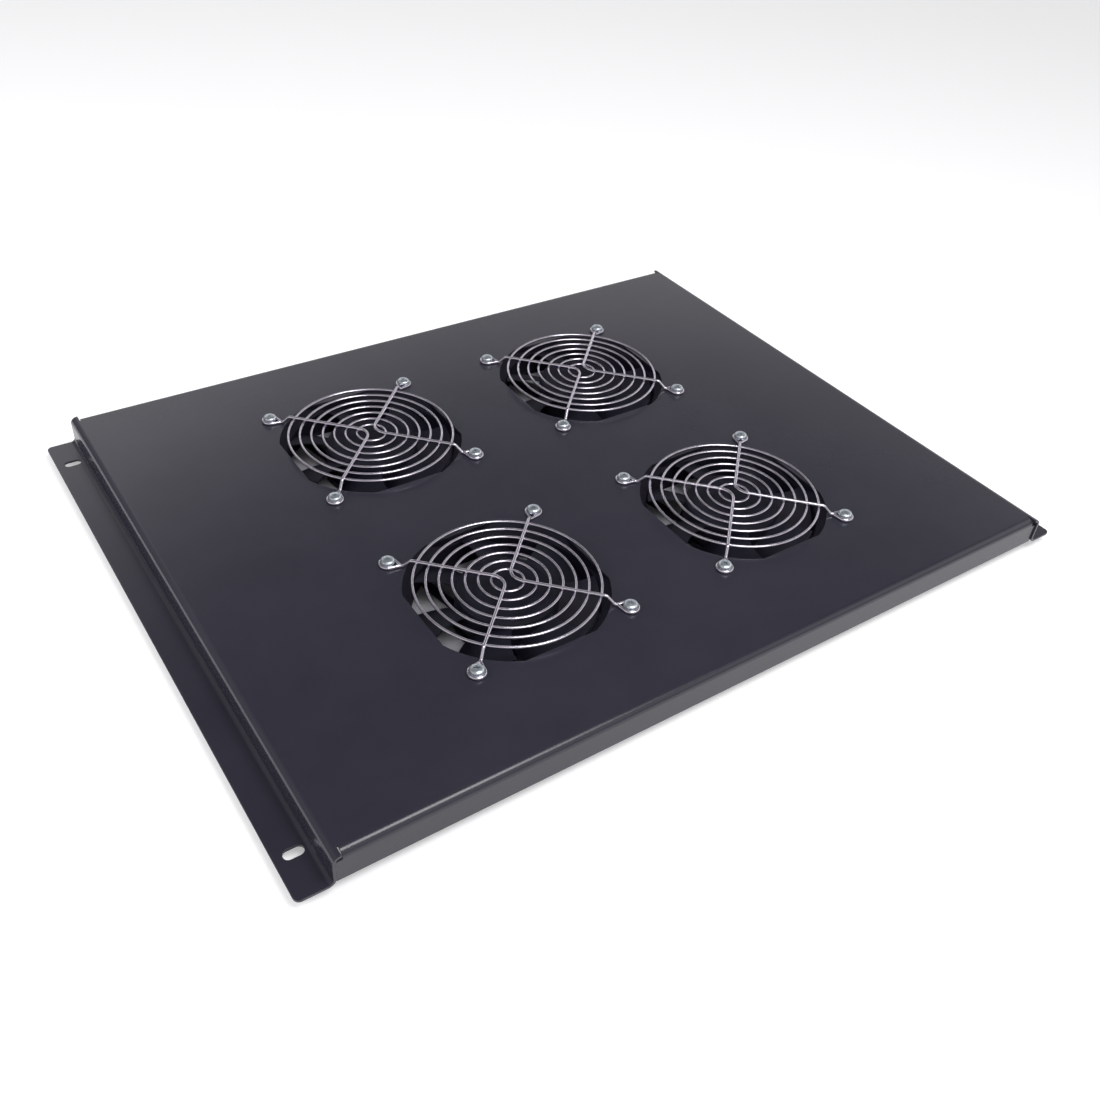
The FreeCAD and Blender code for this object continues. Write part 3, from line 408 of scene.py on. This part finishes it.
def makeScrewPattern(low, top):
    # pan-head machine screw with a cross recess, its thread cut to the end
    seat = top - guardScrew["headHeight"]
    rimTop = seat + guardScrew["rim"]
    screw = startBar("screwPattern", 40, guardScrew["headRadius"], seat, rimTop)
    pickFaces(screw, 1)
    dome = [(radius * mm, rimTop + share * (top - rimTop)) for radius, share in guardScrew["dome"]]
    turnOutline([(guardScrew["headRadius"], rimTop)] + dome)
    bpy.ops.mesh.merge(type="CENTER")
    pickFaces(screw, -1)
    underHead = [(guardScrew["headRadius"], seat), (guardScrew["neckRadius"], seat)]
    turnOutline(underHead + threadOutline(low, seat - guardScrew["neckHeight"]))
    bpy.ops.object.mode_set(mode="OBJECT")
    wingSize = (2 * guardScrew["recessReach"], guardScrew["recessWidth"], 2 * guardScrew["recessDepth"])
    taper = guardScrew["recessTaper"]
    for degrees in (0, 90):
        wing = startPiece("recessWing", "cube", size=1.0)
        bpy.ops.transform.resize(value=wingSize)
        pickFaces(wing, -1)
        bpy.ops.transform.resize(value=(taper, taper, 1), center_override=(0, 0, 0))
        bpy.ops.mesh.select_all(action="SELECT")
        bpy.ops.transform.translate(value=(0, 0, top))
        bpy.ops.transform.rotate(value=math.radians(degrees), orient_axis="Z", center_override=(0, 0, 0))
        cutWith(screw, wing)
    finishPattern(screw, guardScrew["sharpAngle"])
    return screw


lockNut = {
    "flats": 6.95 * mm, "bore": 2.0 * mm,
    "faceShare": 0.96, "chamferAngle": 30.0,  # the end face as a share of the flats, and the slope off it
    "insertRadius": 3.15 * mm, "insertHeight": 1.2 * mm, "insertRounding": 0.3 * mm,
    "sharpAngle": 25.0, "insertSharpAngle": 35.0,
}


def makeNutPattern(low, high):
    # hexagon nut: a six-sided bar cut back by a turned shape, which leaves the curved chamfers of a real nut
    reach = lockNut["flats"] / math.sqrt(3)
    faceRadius = lockNut["faceShare"] * lockNut["flats"] / 2
    rise = (reach - faceRadius) * math.tan(math.radians(lockNut["chamferAngle"]))
    oversize = 1.01  # keeps the turned shape clear of the bar's corners
    nut = startBar("nutPattern", 6, reach, low, high, 30)
    bpy.ops.object.mode_set(mode="OBJECT")
    turned = startBar("chamferTool", 48, oversize * reach, low + rise, high - rise)
    for side, end in ((1, high), (-1, low)):
        pickFaces(turned, side)
        turnOutline([(oversize * reach, end - side * rise), (oversize * faceRadius, end)])
    cutWith(nut, turned, "INTERSECT")
    drillThrough(nut, lockNut["bore"], low, high)
    finishPattern(nut, lockNut["sharpAngle"])
    return nut


def makeInsertPattern(low, high):
    # the nylon ring of a lock nut, rolled over at its open end
    ring = startBar("insertPattern", 40, lockNut["insertRadius"], low, high)
    pickFaces(ring, -1)
    bpy.ops.mesh.bevel(offset=lockNut["insertRounding"], segments=3, affect="EDGES")
    bpy.ops.object.mode_set(mode="OBJECT")
    drillThrough(ring, lockNut["bore"], low, high)
    finishPattern(ring, lockNut["insertSharpAngle"])
    return ring


def makeFasteners(fan, patterns):
    # the four guard screws and lock nuts of one fan, each left at its own angle
    turns = random.Random(fan)
    screwNode, nutNode = f"{fan}_guard_screws", f"{fan}_lock_nuts"
    axes = cornerAxes(screwNode, guardScrew["cadHeadRadius"])
    places = [(axis, turns.uniform(0, math.pi)) for axis in axes]
    screws = placeCopies(patterns["screw"], f"{fan}_guardScrews", places, "zinc")
    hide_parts(screwNode)
    nutPlaces = [(axis, turns.choice((0, 1)) * math.pi / 3) for axis in axes]
    nuts = placeCopies(patterns["nut"], f"{fan}_lockNuts", nutPlaces, "zinc")
    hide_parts(nutNode)
    placeCopies(patterns["insert"], f"{fan}_nutInserts", nutPlaces, "lockInsert")


screwLow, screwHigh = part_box("rear_left_guard_screws")
nutLow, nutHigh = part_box("rear_left_lock_nuts")
hexLow = nutLow.z + lockNut["insertHeight"]
patterns = {
    "screw": makeScrewPattern(screwLow.z, screwHigh.z),
    "nut": makeNutPattern(hexLow, nutHigh.z),
    "insert": makeInsertPattern(nutLow.z, hexLow),
}
for fan in fans:
    makeFasteners(fan, patterns)
for pattern in patterns.values():
    bpy.data.objects.remove(pattern, do_unlink=True)
print("fasteners modelled")


def seenDirectly(tree):
    # 1 where the camera, a glossy ray or a transmitted ray meets the surface, else 0
    path = addNode(tree, "ShaderNodeLightPath")
    seen = path.outputs["Is Camera Ray"]
    for ray in ("Is Glossy Ray", "Is Transmission Ray"):
        either = addNode(tree, "ShaderNodeMath", {0: seen, 1: path.outputs[ray]}, operation="MAXIMUM")
        seen = either.outputs[0]
    return seen


def makeFloor():
    # white paper, lifted to white where it is seen, with painted shade under the tray: a darker tone there,
    # which isn't lifted
    paper = {
        "size": 8.0, "colour": "#e8e8ea", "lift": 0.36,
        "under": "#aeaeb4", "underReach": 0.17, "underFade": 0.03,  # its half width and soft edge
    }
    bpy.ops.object.select_all(action="DESELECT")
    bpy.ops.mesh.primitive_plane_add(size=paper["size"], location=(0, 0, 0))
    floor = bpy.context.object
    floor.name = "floor"
    material, tree, place = newMaterial("whitePaperFloorWithPaintedShade")
    across = addNode(tree, "ShaderNodeSeparateXYZ", {"Vector": place})
    beyond = []
    for axis in ("X", "Y"):
        distance = addNode(tree, "ShaderNodeMath", {0: across.outputs[axis]}, operation="ABSOLUTE")
        beyond.append(addNode(tree, "ShaderNodeMapRange", {
            "Value": distance.outputs[0],
            "From Min": paper["underReach"], "From Max": paper["underReach"] + paper["underFade"],
        }).outputs[0])
    beyondPaintedShade = addNode(tree, "ShaderNodeMath", {0: beyond[0], 1: beyond[1]}, operation="MAXIMUM")
    # the paper's tone, with painted shade: darker under the tray
    tone = addNode(tree, "ShaderNodeValToRGB", {"Fac": beyondPaintedShade.outputs[0]}, [
        (0.0, hexToLinear(paper["under"])), (1.0, hexToLinear(paper["colour"])),
    ])
    lift = addNode(tree, "ShaderNodeMapRange", {"Value": beyondPaintedShade.outputs[0], "To Max": paper["lift"]})
    plain = addNode(tree, "ShaderNodeBsdfDiffuse", {"Color": tone.outputs[0]})
    glow = addNode(tree, "ShaderNodeEmission", {"Color": grey(1.0), "Strength": lift.outputs[0]})
    lifted = addNode(tree, "ShaderNodeAddShader", {0: plain.outputs[0], 1: glow.outputs[0]})
    mixed = addNode(tree, "ShaderNodeMixShader", {
        0: seenDirectly(tree), 1: plain.outputs[0], 2: lifted.outputs[0],
    })
    addNode(tree, "ShaderNodeOutputMaterial", {"Surface": mixed.outputs[0]})
    floor.data.materials.append(material)


def makeWorld():
    # a white room shaded by three surfaces: each level is how bright it is so many degrees off the aim
    room = {
        "flag": {  # dark, with an open middle and a bright rim, so that the panel shades off without glare
            "azimuth": 44.0, "elevation": 60.0,
            "levels": ((0, 1.0), (12, 0.7), (22, 0.12), (31, 0.04), (36.5, 1.7), (42, 1.35), (55, 1.15),
                       (75, 1.0), (180, 1.0)),
        },
        "ceiling": {  # dark overhead, bright where it meets the walls, which are dimmer
            "azimuth": 0.0, "elevation": 90.0,
            "levels": ((0, 0.22), (44, 0.22), (54, 1.0), (66, 1.0), (80, 0.4), (180, 0.4)),
        },
        "screen": {  # a dark screen behind on the left
            "azimuth": 125.0, "elevation": 18.0,
            "levels": ((0, 0.35), (28, 0.35), (38, 1.0), (180, 1.0)),
        },
    }
    world = bpy.data.worlds.new("whiteRoom")
    world.use_nodes = True
    tree = world.node_tree
    tree.nodes.clear()
    direction = addNode(tree, "ShaderNodeTexCoord").outputs["Generated"]
    shade, strength = (1.0, 1.0, 1.0), 1.0
    for surface in room.values():
        azimuth, elevation = math.radians(surface["azimuth"]), math.radians(surface["elevation"])
        outward = math.cos(elevation)
        aim = (outward * math.cos(azimuth), outward * math.sin(azimuth), math.sin(elevation))
        towards = addNode(tree, "ShaderNodeVectorMath", {0: direction, 1: aim}, operation="DOT_PRODUCT")
        angle = addNode(tree, "ShaderNodeMath", {0: towards.outputs["Value"]}, operation="ARCCOSINE")
        share = addNode(tree, "ShaderNodeMath", {0: angle.outputs[0], 1: math.pi}, operation="DIVIDE")
        brightest = max(level for _, level in surface["levels"])
        levels = addNode(tree, "ShaderNodeValToRGB", {"Fac": share.outputs[0]}, [
            (degrees / 180, grey(level / brightest)) for degrees, level in surface["levels"]
        ])
        shaded = addNode(tree, "ShaderNodeVectorMath", {0: shade, 1: levels.outputs[0]}, operation="MULTIPLY")
        shade = shaded.outputs[0]
        strength *= brightest
    lit = addNode(tree, "ShaderNodeBackground", {"Color": shade, "Strength": strength})
    addNode(tree, "ShaderNodeOutputWorld", {"Surface": lit.outputs[0]})
    bpy.context.scene.world = world


softboxes = {
    "overheadSoftbox": {
        "place": (0.14, -0.62, 1.3), "aim": (0, 0, 0), "size": 0.66, "watts": 12, "mirrored": True,
    },
    "leftFill": {  # not mirrored, so that it draws no hard line along the side fold
        "place": (-1.4, 0.35, 0.9), "aim": (0, 0, 0), "size": 1.2, "watts": 12, "mirrored": False,
    },
}


def addSoftbox(name, softbox):
    light = bpy.data.lights.new(name, "AREA")
    light.size = softbox["size"]
    light.energy = softbox["watts"]
    box = bpy.data.objects.new(name, light)
    bpy.context.scene.collection.objects.link(box)
    box.location = softbox["place"]
    box.visible_glossy = softbox["mirrored"]
    aim = Vector(softbox["aim"]) - Vector(softbox["place"])
    box.rotation_euler = aim.to_track_quat("-Z", "Y").to_euler()


def makeCamera():
    view = {
        "place": (-0.36600, -0.50079, 0.46694), "turnDegrees": (50.329, -3.5467, -33.7111),
        "lens": 36.372, "sensor": 36.0,  # mm
    }
    camera = bpy.data.objects.new("camera", bpy.data.cameras.new("camera"))
    bpy.context.scene.collection.objects.link(camera)
    camera.location = view["place"]
    camera.rotation_euler = [math.radians(angle) for angle in view["turnDegrees"]]
    camera.data.lens = view["lens"]
    camera.data.sensor_width = view["sensor"]
    bpy.context.scene.camera = camera


makeFloor()
makeWorld()
for name, softbox in softboxes.items():
    addSoftbox(name, softbox)
makeCamera()
bpy.context.scene.view_settings.view_transform = "Standard"
print("stage set")
